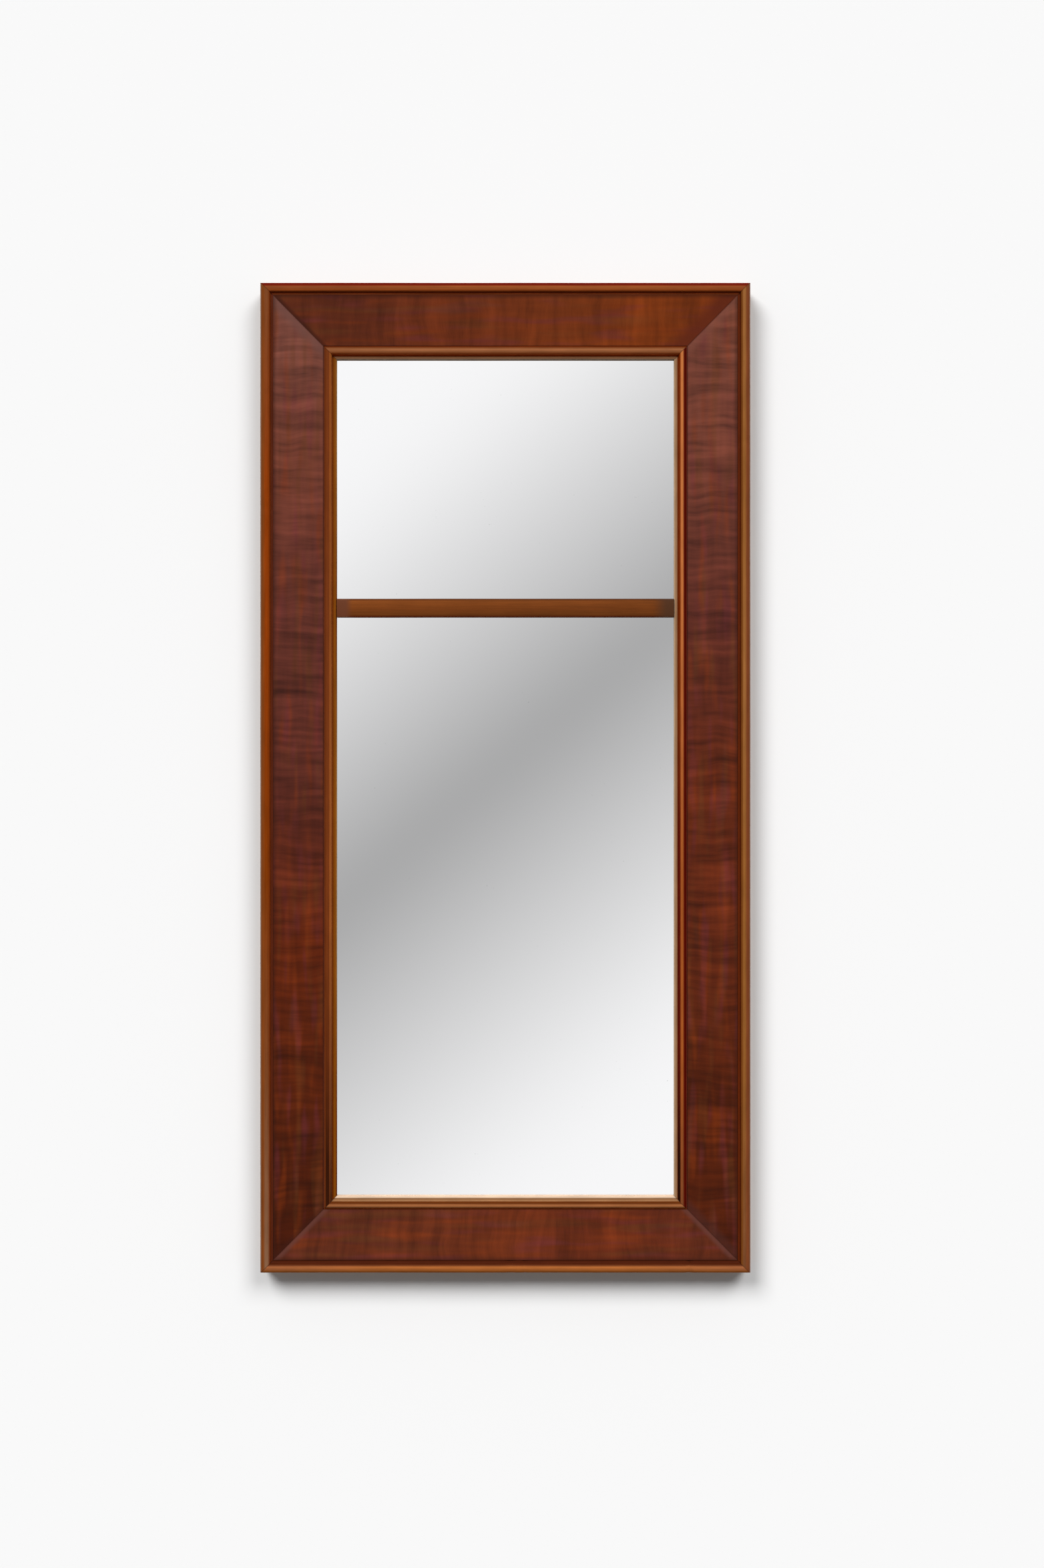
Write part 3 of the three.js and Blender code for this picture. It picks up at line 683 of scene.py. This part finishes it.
# The crowns are painted highlights. The right bead's dark field-side flank is painted shade. The pale
# glass-side flanks of the top and left beads and the bottom bead's pale outer flank are painted light. The
# pale rims on the lips are painted highlights and glow. The top and bottom quirks are painted lighter against
# their shade. The left bead, the left lip and the right lip's quirk grow darker towards the bottom.
# Each side's seed, crown, tones along the crown, flanks and bands.
sight_runs = {
    "top_rail": (51.0, (82.9, 4.0), [toffee, fawn, fawn, fawn, fawn],
                 (shade(104, 58, 30), shade(160, 76, 30)),
                 [(74, 78.2, shade(120, 42, 2), 0.85), (87.2, 88.8, shade(190, 74, 12), 0.85),
                  (89, 95, shade(124, 84, 56), 1.0), (92, 95, shade(150, 128, 108), 0.8)]),
    "right_stile": (53.0, (83.7, 2.9), [pale_honey, pale_honey, warm_honey, ginger, ginger, dull_ginger],
                    (shade(90, 14, 3), shade(132, 48, 5)),
                    [(74, 78.0, shade(110, 50, 34), 0.85),
                     (85.6, 88.4, [red_quirk] * 5 + [dull_quirk] * 3 + [black_quirk] * 2, 0.95),
                     (88.9, 95, shade(150, 112, 80), 1.0), (91.8, 95, shade(180, 152, 122), 0.8)]),
    "bottom_rail": (57.0, (81.0, 3.9), [fawn, pale_fawn, pale_fawn, pale_fawn, pale_fawn],
                    (shade(196, 104, 46), shade(88, 38, 4)),
                    [(74, 78.0, shade(150, 56, 6), 0.85), (84.9, 86.8, shade(92, 42, 6), 0.85),
                     (87.0, 95, shade(150, 108, 72), 1.0), (90.3, 95, shade(218, 190, 164), 0.9)]),
    "left_stile": (59.0, (86.8, 3.6), [tan, tan, tan, pale_tan, pale_tan, dull_tan, darkest_brown],
                   (flank_brown, shade(160, 86, 28)),
                   [(74, 78.0, shade(104, 51, 36), 0.85), (87.6, 88.8, shade(128, 52, 2), 0.85),
                    (80.0, 84.2, [flank_brown] * 7 + [dull_flank, darkest_brown, darkest_brown], 0.95),
                    (89, 95, shade(126, 68, 8), 1.0),
                    (92.2, 95,
                     [pale_lip_glow, pale_lip_glow, rusty_lip, pale_lip_glow, pale_lip_glow, rusty_lip, dark_lip], 0.95)]),
}
for side, (seed, crown, tones, flanks, bands) in sight_runs.items():
    lies = dented(seed, [], sight_glued_below)
    shape = run_moulding(side, sight_section(), bead_row_spacing, lies)
    finish = bead_polish(side + "_sight_moulding", side, seed, crown, tones, flanks, bands)
    put_in_place(side + "_sight_moulding", shape, finish, ["sight_moulding_" + side])

# ---- Crossbar ----
# A T-shaped hardwood bar, tenoned into the stiles, carries the edges of both plates. Its face has a strip of
# mahogany, slightly crowned and darker along its long edges, with painted light and shade on it.
bar_wood = close_hardwood("bar_wood", 9.0, shade(92, 50, 28), shade(66, 32, 18))
soften_edges("crossbar", 0.25, bar_wood)

bar_z = -362.75
bar_half = 11.25
bar_back = 22.3
bar_reach = 206.7
bar_edge_thickness, bar_crown_rise = 0.9, 0.8
bar_unevenness, bar_waviness = 0.1, 0.12
bar_rows = 80


def bar_face_shape():
    """The strip of veneer, a little uneven in its height and along its edges."""
    crown = quarter(0, bar_back + bar_edge_thickness, bar_half, bar_crown_rise, 0, 180, 20)
    section = [(bar_half, bar_back)] + crown + [(-bar_half, bar_back)]
    shape = bmesh.new()
    rings = []
    for row in range(bar_rows + 1):
        x = bar_reach * (2 * row / bar_rows - 1)
        lift = bar_unevenness * drift(61, x, 70)
        wave = bar_waviness * drift(63, x, 110)
        places = [(x, -(v + lift if v > bar_back else v), bar_z + z + wave) for z, v in section]
        rings.append([shape.verts.new(Vector(place) * 0.001) for place in places])
    return skinned(shape, rings)


def bar_polish():
    """Dull polish, darker along both edges of the strip, greyer at its left end and darker towards the right,
    where the dark end is painted shade beside the stile; its upper half is painted lighter than its lower, as
    if lit from above.
    """
    finish, start = new_finish("crossbar_face")
    x, front, z = millimetres(start)
    streaks = cloud(x / 70, z * 0.7, front, 3, 0.6)
    fine = cloud(x / 7, z * 2.4, front, 2)
    patches = cloud(x / 40, z / 20, front, 2)
    # Painted light: the strip's upper part is lighter than its lower, as from a lamp above.
    stops = [(0.03, shade(78, 26, 4)), (0.13, shade(102, 54, 18)), (0.45, shade(114, 58, 20)),
             (0.86, shade(127, 67, 24)), (0.97, shade(86, 40, 8))]
    colour = x.node("ValToRGB", {"stops": stops}, {0: (z - bar_z) / (2 * bar_half) + 0.5}, "Color")
    colour = deepened(colour, 0.33 + streaks * 0.6 + fine * 0.2 + patches * 0.4 - x / bar_reach * 0.11)
    colour = tint(ease(x, 10 - bar_reach, 20 - bar_reach), shade(102, 57, 36), colour)
    # Painted shade at the right end, beside the stile.
    colour = tint(ease(x, bar_reach - 28, bar_reach - 7) * 0.9, colour, shade(74, 47, 30))
    lay_on(start, colour, streaks * 0.6 + fine * 0.4, 0.06, Roughness=0.4, Specular_IOR_Level=0.05)
    return finish


put_in_place("crossbar_face", bar_face_shape(), bar_polish(), ["crossbar_veneer"])

# ---- Mirror plates ----
# Two plates of silvered glass, cut square with the arris just rubbed off, lie in the rebate one above the
# other. The silvering ends a hair inside the edge.
plate_reach = 215.2
plate_back, plate_front = 14.2, 17.7
plate_arris = 0.35
plate_heights = {"upper": (-359.95, -49.8), "lower": (-1092.7, -366.05)}


def plate_shape(low, high):
    """A glass plate with its long arrises rubbed off, and a rim of narrow faces round the silvering."""
    shape = bmesh.new()
    steps = [(plate_arris, plate_back), (0, plate_back + plate_arris),
             (0, plate_front - plate_arris), (plate_arris, plate_front)]
    rings = []
    for inset, v in steps:
        x = plate_reach - inset
        corners = [(-x, low + inset), (x, low + inset), (x, high - inset), (-x, high - inset)]
        rings.append([shape.verts.new((cx * 0.001, -v * 0.001, cz * 0.001)) for cx, cz in corners])
    return skinned(shape, rings)


def silvered_glass():
    """Silvering seen through the glass, which is bare and greenish round the rim."""
    finish, start = new_finish("silvered_glass")
    x, front, z = millimetres(start)
    edge = ease(front, plate_front - 0.05, plate_front - 0.25)
    specks = ease(cloud(x / 3, z / 3, front, 3), 0.74, 0.8) * 0.25
    colour = tint(most(edge, specks), shade(250, 250, 251), shade(120, 132, 124))
    lay_on(start, colour, Roughness=0.015 + edge * 0.2, Metallic=1 - edge * 0.9)
    return finish


plate_finish = silvered_glass()
for place, (low, high) in plate_heights.items():
    solid = place + "_mirror_plate"
    put_in_place(place + "_plate", plate_shape(low, high), plate_finish, [solid])

# ---- Glue blocks ----
# Short three-cornered blocks of pine, split from offcuts, are glued to the rebate's wall behind the glass and
# keep the plates against the sight moulding. They are bare and have stayed paler than the rest.
block_pine = old_pine("block_pine", True, 17.0, shade(176, 136, 86), shade(140, 98, 56))
for hand in ("left", "right"):
    for number in range(1, 6):
        soften_edges(f"glue_block_{hand}_{number}", 0.3, block_pine)

# ---- Backboards ----
# Three thin pine boards, planed by hand and laid across the back, close it against dust. Their grain runs
# across, their edges are bevelled off a little, and they have darkened.
board_half_height = 178.4
nail_x, nail_rise = 223.0, 123.4


def board_finish(number, seed, middle, pale, dark, knots):
    """One board's pine, flowing round its knots, dusty at its edges and rust-stained round its nails."""
    finish, start = new_finish(f"board_pine_{number}")
    x, front, z = millimetres(start)
    z = z - middle
    flow, knotty = z, 0
    for knot_x, knot_z, size in knots:
        dx, dz = (x - knot_x) / 2.2, z - knot_z
        away = root(dx * dx + dz * dz)
        flow = flow - dz / (away + 3) * ease(away, size * 5, size * 0.6) * size * 0.9
        rough_edge = away + cloud(x / 4, z / 4, front) * 2
        knotty = most(ease(rough_edge, size + 1.2, size * 0.9), knotty)
    lines, fibres = pine_grain(x, flow, front, seed)
    stains = cloud(x / 80, z / 70 + seed, front, 4)
    planing = cloud(x / 300, z / 9 + seed, front, 1)
    colour = tint(lines * 0.55, pale, dark)
    colour = deepened(colour, 0.4 + fibres * 0.4 + stains * 0.8)
    colour = tint(knotty * 0.8, colour, shade(74, 44, 26))
    nail_dx, nail_dz = abs(x) - nail_x, abs(z) - nail_rise
    from_nail = root(nail_dx * nail_dx + nail_dz * nail_dz * 1.6)
    rusty = ease(from_nail + cloud(x / 3, z / 3, front, 2) * 5, 10, 4.5)
    pale_grey_tan = ease(abs(z), board_half_height - 9, board_half_height - 0.5)
    colour = tint(most(rusty * 0.6, pale_grey_tan * 0.5), colour, shade(60, 42, 30))
    relief = lines * 0.35 + fibres * 0.3 + planing * 0.9 - knotty * 0.4
    lay_on(start, colour, relief, 0.35, Roughness=0.8, Specular_IOR_Level=0.2)
    return finish


# Each board's number, seed, middle height, pale and dark tones, and its knots as (x, z, size).
board_runs = [
    (1, 71.0, -214.0, shade(150, 112, 70), shade(104, 70, 42), [(-96, 62, 7), (148, -70, 4)]),
    (2, 83.0, -571.0, shade(162, 122, 74), shade(116, 76, 42), [(60, -104, 6)]),
    (3, 97.0, -928.0, shade(146, 106, 66), shade(98, 66, 40), [(-150, 20, 5), (96, 108, 8)]),
]
for number, seed, middle, pale, dark, knots in board_runs:
    soften_edges(f"backboard_{number}", 0.5, board_finish(number, seed, middle, pale, dark, knots))

# ---- Nails ----
# Each board is held by four iron nails, driven through it into the core's ledge. Their heads are hammered, a
# little out of round, and rusted brown.
nail_finish, start = new_finish("rusted_iron")
x, front, z = millimetres(start)
rust = ease(cloud(x, z, front, 4), 0.42, 0.62)
iron = tint(rust, shade(62, 56, 52), shade(92, 56, 36))
pitted = cloud(x * 2, z * 2, front * 2, 3)
lay_on(start, iron, pitted, 0.12, Roughness=0.5 + rust * 0.35, Metallic=0.85 - rust * 0.6)


def spun(profile, sides_round, wobble=None):
    """A piece turned about an axis that points to the front, from a profile of (radius, v)."""
    shape = bmesh.new()
    rings = []
    for radius, v in profile:
        if radius == 0:
            rings.append([shape.verts.new((0, -v * 0.001, 0))])
            continue
        ring = []
        for i in range(sides_round):
            angle = 2 * math.pi * i / sides_round
            r, height = wobble(radius, v, angle) if wobble else (radius, v)
            place = Vector((r * math.cos(angle), -height, r * math.sin(angle)))
            ring.append(shape.verts.new(place * 0.001))
        rings.append(ring)
    for near, far in zip(rings, rings[1:]):
        for i in range(sides_round):
            j = (i + 1) % sides_round
            if len(near) == 1:
                shape.faces.new((near[0], far[i], far[j]))
            elif len(far) == 1:
                shape.faces.new((near[i], near[j], far[0]))
            else:
                shape.faces.new((near[i], near[j], far[j], far[i]))
    bmesh.ops.recalc_face_normals(shape, faces=shape.faces)
    return shape


def centre_of(node):
    low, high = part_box(node)
    return (low + high) / 2


# The head as (radius, height over the board), and the shank as (radius, depth below its face).
nail_seat = 1.4
nail_head = [(0, 0.75), (1.5, 0.72), (2.1, 0.58), (2.35, 0.35), (2.3, 0.1), (2.1, 0)]
nail_shank = [(0.9, 0), (0.9, 11), (0.5, 12.7), (0, 14)]
nail_profile = [(radius, nail_seat - height) for radius, height in nail_head]
nail_profile += [(radius, nail_seat + depth) for radius, depth in nail_shank]
hammer = random.Random(12)
for number in range(1, 13):
    tilt, phase = hammer.uniform(0.02, 0.08), hammer.uniform(0, 6.28)

    def knocked(radius, v, angle, tilt=tilt, phase=phase):
        if radius > 1:
            radius *= 0.97 + 0.04 * math.cos(2 * angle + phase) + 0.03 * math.cos(3 * angle - phase)
        if v < nail_seat - 0.3:
            v += tilt * math.cos(angle)
        return radius, v

    shape = spun(nail_profile, 20, knocked)
    middle = centre_of(f"backboard_nail_{number}")
    bmesh.ops.translate(shape, vec=(middle.x, 0, middle.z), verts=shape.verts)
    put_in_place(f"board_nail_{number}", shape, nail_finish, [f"backboard_nail_{number}"])

# ---- Hangers ----
# Brass straps are screwed to the backs of the stiles. The top of each is rolled round the straight side of a
# bent wire D-ring, which swings in it.
hanger_x = 265
ring_axis_y, ring_axis_z = 3.65, -205.0
strap_back, strap_front = 1.8, 0.3
strap_half = 9.0
strap_length = 40.0
knuckle_outer, knuckle_inner, knuckle_end = 3.35, 1.85, -112
hole_radius = 2.15
screw_drops = {"upper": 8.0, "lower": 30.0}


def tarnished_brass(name, seed, bright, dull):
    """Sheet or turned brass, worn bright in places and dull in others, with fine scratches."""
    finish, start = new_finish(name)
    x, front, z = millimetres(start)
    tarnish = ease(cloud(x / 5 + seed, z / 5, front / 5, 4), 0.4, 0.68)
    scratches = cloud(x / 9, z * 3 + seed, front * 3, 2)
    colour = tint(tarnish, bright, dull)
    rough = 0.28 + tarnish * 0.24
    lay_on(start, colour, scratches, 0.02, Roughness=rough, Metallic=1.0)
    return finish


strap_brass = tarnished_brass("strap_brass", 0.0, shade(172, 134, 80), shade(110, 82, 48))
screw_brass = tarnished_brass("screw_brass", 8.0, shade(164, 126, 72), shade(98, 74, 44))


def prism(outline, place_of, low, high):
    """A closed outline made solid between two heights. place_of turns (a, b, height) into a place."""
    shape = bmesh.new()
    return skinned(shape, [[shape.verts.new(place_of(a, b, height)) for a, b in outline]
                           for height in (low, high)])


def tool_of(name, shape):
    """A solid to work with, which isn't a piece of its own."""
    mesh = bpy.data.meshes.new(name)
    shape.to_mesh(mesh)
    shape.free()
    tool = bpy.data.objects.new(name, mesh)
    bpy.context.collection.objects.link(tool)
    return tool


def worked(base, steps):
    """Cuts and joins solids, then gives the result as a bmesh. steps are (operation, solid)."""
    for operation, tool in steps:
        change = base.modifiers.new("work", "BOOLEAN")
        change.operation = operation
        change.solver = "EXACT"
        change.object = tool
    bpy.context.view_layer.update()
    result = base.evaluated_get(bpy.context.evaluated_depsgraph_get())
    shape = bmesh.new()
    shape.from_mesh(result.to_mesh())
    for thing in [base] + [tool for _, tool in steps]:
        bpy.data.objects.remove(thing)
    return shape


def strap_shape(hand_x):
    """The strap's plate with a round foot and two holes, and its rolled top."""
    def flat(a, b, height):
        return Vector((hand_x + a, height, ring_axis_z + b)) * 0.001

    def rolled(a, b, across):
        return Vector((hand_x + across, ring_axis_y + a, ring_axis_z + b)) * 0.001

    foot = quarter(0, strap_half - strap_length, strap_half, strap_half, 180, 360, 24)
    plate = tool_of("plate", prism([(strap_half, 0), (-strap_half, 0)] + foot, flat, strap_front, strap_back))
    outer = quarter(0, 0, knuckle_outer, knuckle_outer, 180, knuckle_end, 40)
    inner = quarter(0, 0, knuckle_inner, knuckle_inner, knuckle_end, 180, 30)
    roll = tool_of("roll", prism(outer + inner, rolled, -strap_half, strap_half))
    steps = [("UNION", roll)]
    for drop in screw_drops.values():
        hole = quarter(0, -drop, hole_radius, hole_radius, 0, 345, 23)
        steps.append(("DIFFERENCE", tool_of("hole", prism(hole, flat, -1, 4))))
    return worked(plate, steps)


wire_radius = 1.6
wire_sides = 16
butt_joint = 0.3
filed_end = 0.82
ring_half = 13.6
ring_corner = 3.0
ring_arm = 8.0


def ring_line():
    """The wire's middle line as (x, z) from the hinge's axis, from one end of the butt joint to the other."""
    turn = [(ring_corner * math.sin(math.radians(a)), ring_corner * (math.cos(math.radians(a)) - 1))
            for a in range(0, 91, 15)]
    right_side = [(butt_joint / 2, 0), (4, 0), (8, 0)] + [(ring_half - ring_corner + x, z) for x, z in turn]
    bow = [(ring_half * math.cos(math.radians(a)), -ring_arm - ring_half * math.sin(math.radians(a)))
           for a in range(0, 181, 6)]
    left_side = [(-x, z) for x, z in reversed(right_side)]
    return right_side + bow + left_side


def ring_shape(hand_x):
    """The bent wire, its ends filed a little smaller where they meet inside the strap's roll."""
    line = [Vector((x, 0, z)) for x, z in ring_line()]
    shape = bmesh.new()
    rings = []
    last = len(line) - 1
    for i, place in enumerate(line):
        along = (line[min(i + 1, last)] - line[max(i - 1, 0)]).normalized()
        outwards = along.cross(Vector((0, 1, 0)))
        reach = wire_radius * (filed_end if i in (0, last) else 1)
        ring = []
        for k in range(wire_sides):
            angle = 2 * math.pi * k / wire_sides
            spot = place + outwards * reach * math.cos(angle) + Vector((0, reach * math.sin(angle), 0))
            spot += Vector((hand_x, ring_axis_y, ring_axis_z))
            ring.append(shape.verts.new(spot * 0.001))
        rings.append(ring)
    return skinned(shape, rings)


screw_seat = -2.1
screw_head_radius, screw_head_rise = 3.6, 1.9
screw_shank = [(1.9, 0), (1.9, 12), (0.9, 15), (0, 17)]
slot_half_width, slot_half_length = 0.45, 5
slot_floor_y, slot_open_y = 3.2, 6


def screw_shape(hand_x, drop, turn):
    """A round-headed wood screw with a filed slot, turned to where the driver left it."""
    steep = [math.radians(a) for a in range(0, 90, 9)]
    dome = [(screw_head_radius * math.sin(a), screw_seat - screw_head_rise * math.cos(a)) for a in steep]
    shank = [(radius, screw_seat + depth) for radius, depth in screw_shank]
    head = tool_of("head", spun(dome + [(screw_head_radius, screw_seat)] + shank, 32))
    tilt = math.radians(turn)
    signs = [(1, 1), (-1, 1), (-1, -1), (1, -1)]
    ends = [(a * slot_half_length, b * slot_half_width) for a, b in signs]
    outline = [(a * math.cos(tilt) - b * math.sin(tilt), a * math.sin(tilt) + b * math.cos(tilt))
               for a, b in ends]
    slot = prism(outline, lambda a, b, height: Vector((a, height, b)) * 0.001, slot_floor_y, slot_open_y)
    shape = worked(head, [("DIFFERENCE", tool_of("slot", slot))])
    place = Vector((hand_x, 0, ring_axis_z - drop)) * 0.001
    bmesh.ops.translate(shape, vec=place, verts=shape.verts)
    return shape


screw_turns = {"left": {"upper": 24, "lower": -52}, "right": {"upper": 78, "lower": 10}}
for hand, sign in (("left", -1), ("right", 1)):
    hand_x = sign * hanger_x
    put_in_place(hand + "_strap", strap_shape(hand_x), strap_brass, [hand + "_hanger_strap"])
    ring = ring_shape(hand_x)
    put_in_place(hand + "_d_ring", ring, strap_brass, [hand + "_hanger_ring"], hand + "_ring")
    for level, drop in screw_drops.items():
        screw = screw_shape(hand_x, drop, screw_turns[hand][level])
        solid = f"{hand}_hanger_screw_{level}"
        put_in_place(f"{hand}_{level}_screw", screw, screw_brass, [solid])
